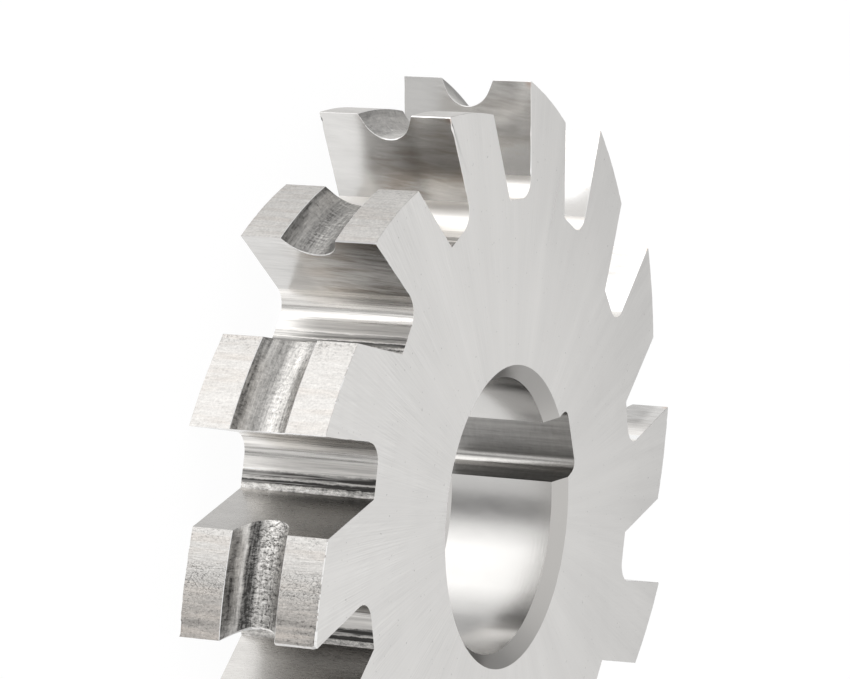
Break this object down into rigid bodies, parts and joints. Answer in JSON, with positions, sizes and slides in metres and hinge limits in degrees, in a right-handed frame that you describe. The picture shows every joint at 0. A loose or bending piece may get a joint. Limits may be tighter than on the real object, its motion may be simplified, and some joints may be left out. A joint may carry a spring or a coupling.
{
  "type": "concave milling cutter",
  "caption": "Disc-shaped form-relieved milling cutter with a half-round groove across every tooth, straight gullets and a keyed arbor bore.",
  "frame": {"origin": "on the bore axis, in the plane of the lower side face", "axes": "+Z along the bore axis, away from the face it lies on; +X through the middle of the keyway; seen from +Z the cutter cuts anticlockwise"},
  "size_m": [0.0488, 0.05, 0.008],
  "materials": {
    "ground_tool_steel": "ground and satin, with fine grinding lines"
  },
  "bodies": {
    "root": {"milling_cutter": "ground_tool_steel"}
  },
  "joints": []
}
